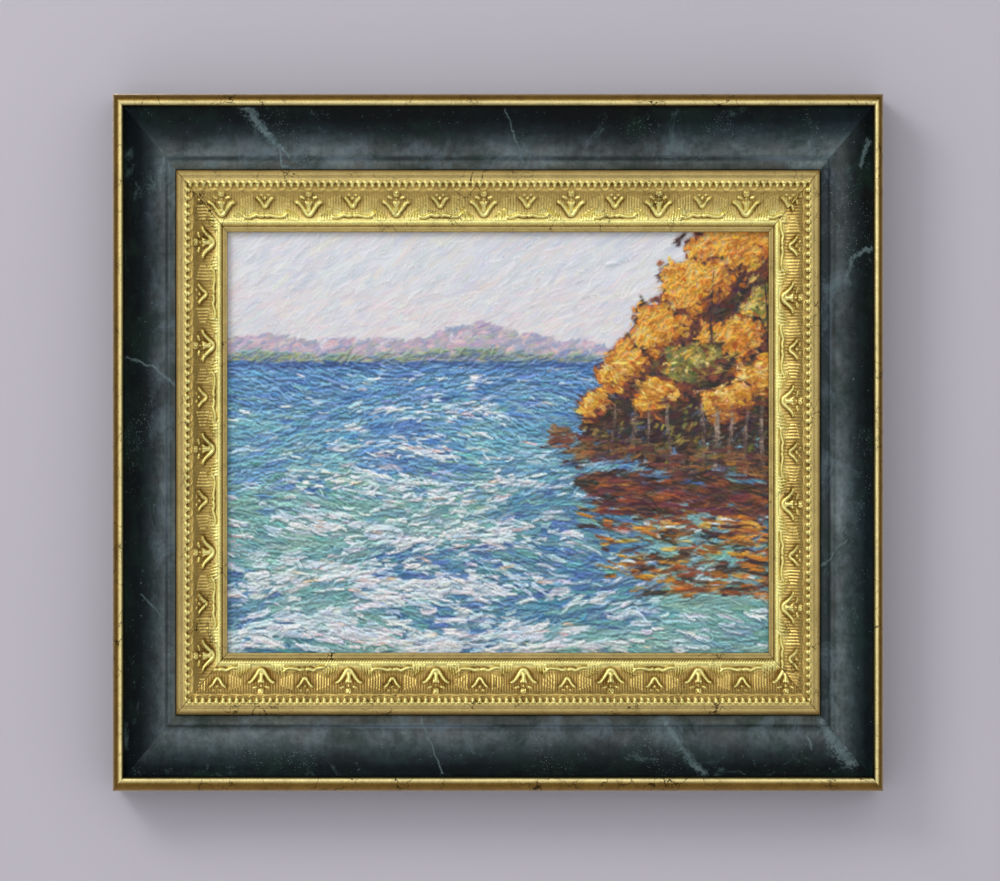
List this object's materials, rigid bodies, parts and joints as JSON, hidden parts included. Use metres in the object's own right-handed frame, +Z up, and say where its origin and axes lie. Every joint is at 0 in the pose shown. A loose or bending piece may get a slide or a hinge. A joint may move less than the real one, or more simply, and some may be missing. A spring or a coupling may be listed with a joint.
{
  "type": "framed oil painting",
  "caption": "Oil painting on stretched canvas in a wide marbled scoop frame with a gilt lip and a gilt inner moulding of pressed palmettes, made to hang flat on a wall.",
  "frame": {"origin": "middle of the flat back of the top rail of the outer moulding, on the wall plane", "axes": "+X to the right as the picture is looked at, +Y back into the wall, +Z up"},
  "size_m": [0.4854, 0.0466, 0.4391],
  "materials": {
    "marbled_moulding": "satin dark green-black marbled paint, bronze-gold outer lip, raw wood back",
    "gilt_liner": "aged gilding over pressed ornament, fine crackle and warm toning in the hollows",
    "painted_canvas": "thick oil paint on primed linen, bare linen behind",
    "stretcher": "raw planed pine"
  },
  "bodies": {
    "root": {"moulding_top": "marbled_moulding", "moulding_bottom": "marbled_moulding", "moulding_left": "marbled_moulding", "moulding_right": "marbled_moulding", "gilt_liner_top": "gilt_liner", "gilt_liner_bottom": "gilt_liner", "gilt_liner_left": "gilt_liner", "gilt_liner_right": "gilt_liner", "canvas": "painted_canvas", "stretcher_top": "stretcher", "stretcher_bottom": "stretcher", "stretcher_left": "stretcher", "stretcher_right": "stretcher"}
  },
  "joints": []
}
